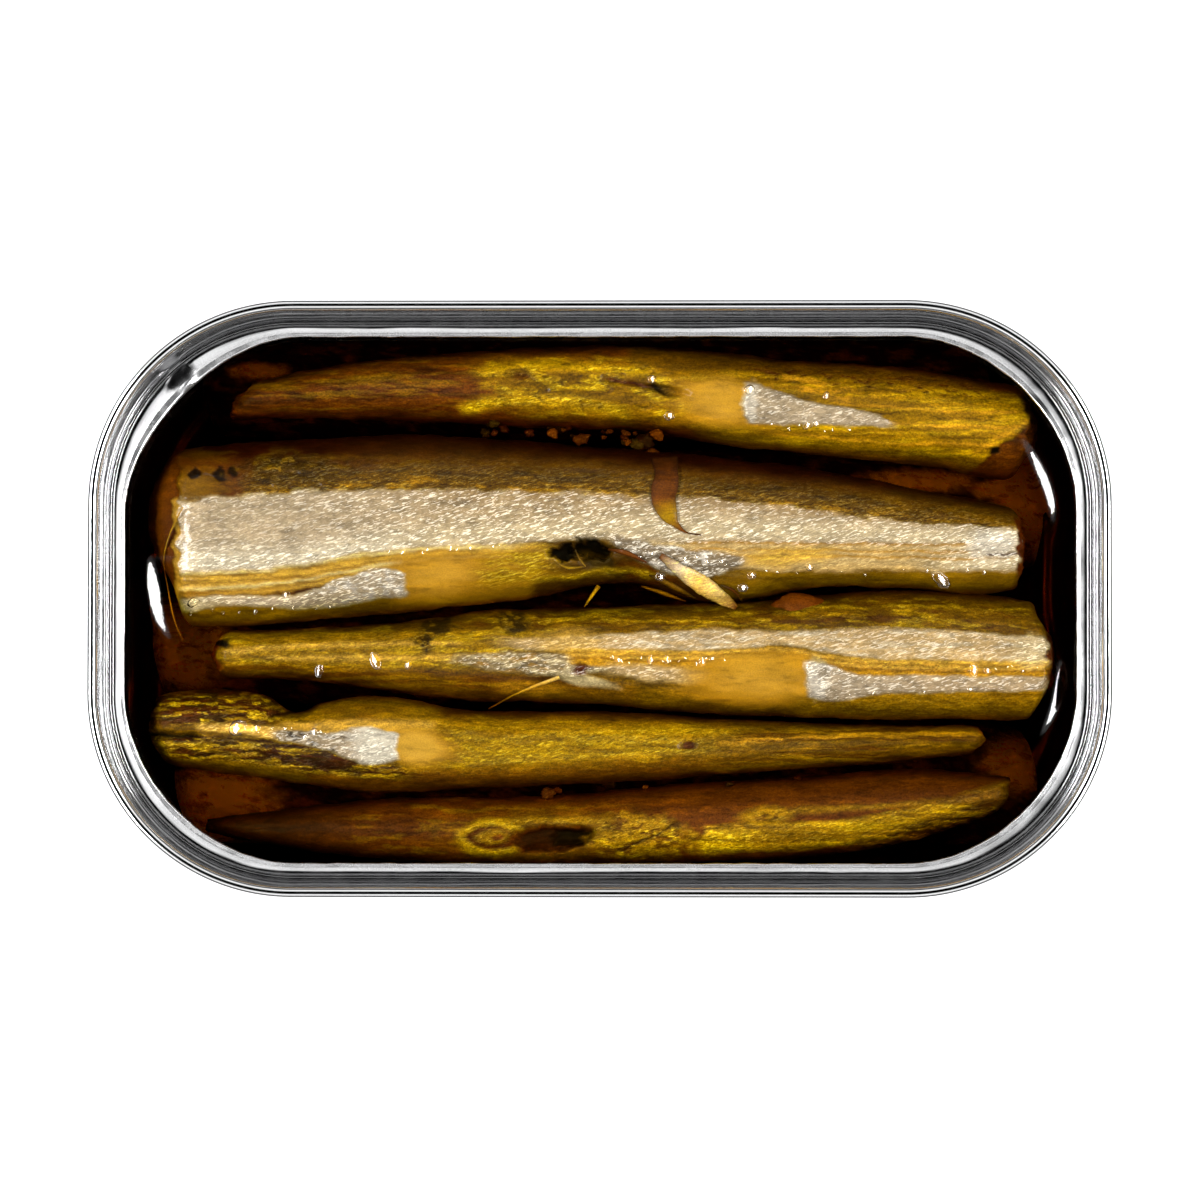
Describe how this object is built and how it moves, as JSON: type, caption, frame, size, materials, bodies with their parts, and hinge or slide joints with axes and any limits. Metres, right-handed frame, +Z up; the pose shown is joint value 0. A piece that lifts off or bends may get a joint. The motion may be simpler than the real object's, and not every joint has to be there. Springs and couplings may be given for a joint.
{
  "type": "opened tin of garfish in oil",
  "caption": "Opened oblong drawn tin with a peeled lid ring, packed lengthwise with garfish pieces lying in oil.",
  "frame": {"origin": "centre of the footprint, on the plane that the tin stands on", "axes": "+X along the tin's length, +Y across its width, +Z up out of the open top"},
  "size_m": [0.105, 0.0614, 0.028],
  "materials": {
    "tin": "satin rolled sheet",
    "oil": "clear amber oil, glossy",
    "fish": "wet fish skin, silver and olive"
  },
  "bodies": {
    "root": {"tin_body": "tin", "lid_ring": "tin", "oil": "oil", "fish_1": "fish", "fish_2": "fish", "fish_3": "fish", "fish_4": "fish", "fish_5": "fish", "lower_fish_1": "fish", "lower_fish_2": "fish", "lower_fish_3": "fish", "lower_fish_4": "fish"}
  },
  "joints": []
}
